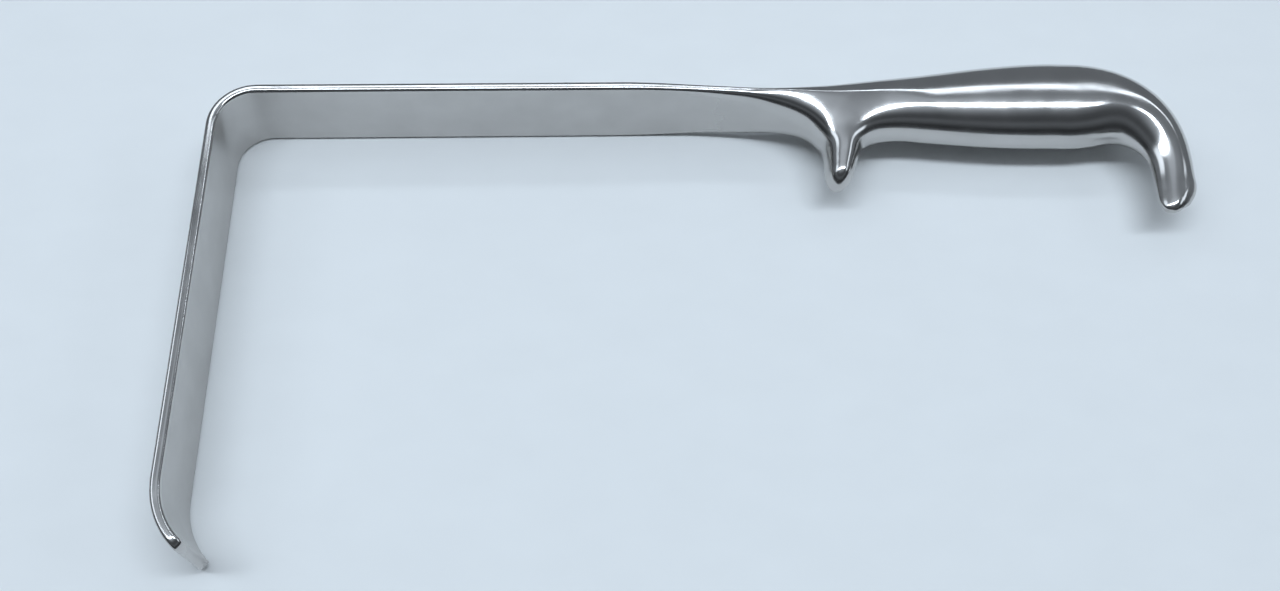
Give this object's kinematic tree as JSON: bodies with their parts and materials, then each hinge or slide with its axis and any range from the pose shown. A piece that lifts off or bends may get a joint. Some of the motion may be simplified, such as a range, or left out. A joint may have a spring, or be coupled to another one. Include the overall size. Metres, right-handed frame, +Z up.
{
  "type": "handheld surgical retractor",
  "caption": "Right-angle surgical retractor: flat strip blade with curled tip, straight shaft, and oval pistol grip with flared finger guard and hooked tail; lies on its side.",
  "frame": {"origin": "middle of the footprint, on the surface that the retractor lies on", "axes": "+X along the shaft from the blade to the grip, +Y away from the side that the blade and the guard point to, +Z up, across the width of the strip"},
  "size_m": [0.321, 0.1624, 0.028],
  "materials": {
    "retractor": "polished rims and grip, satin strip faces"
  },
  "bodies": {
    "root": {"retractor": "retractor"}
  },
  "joints": []
}
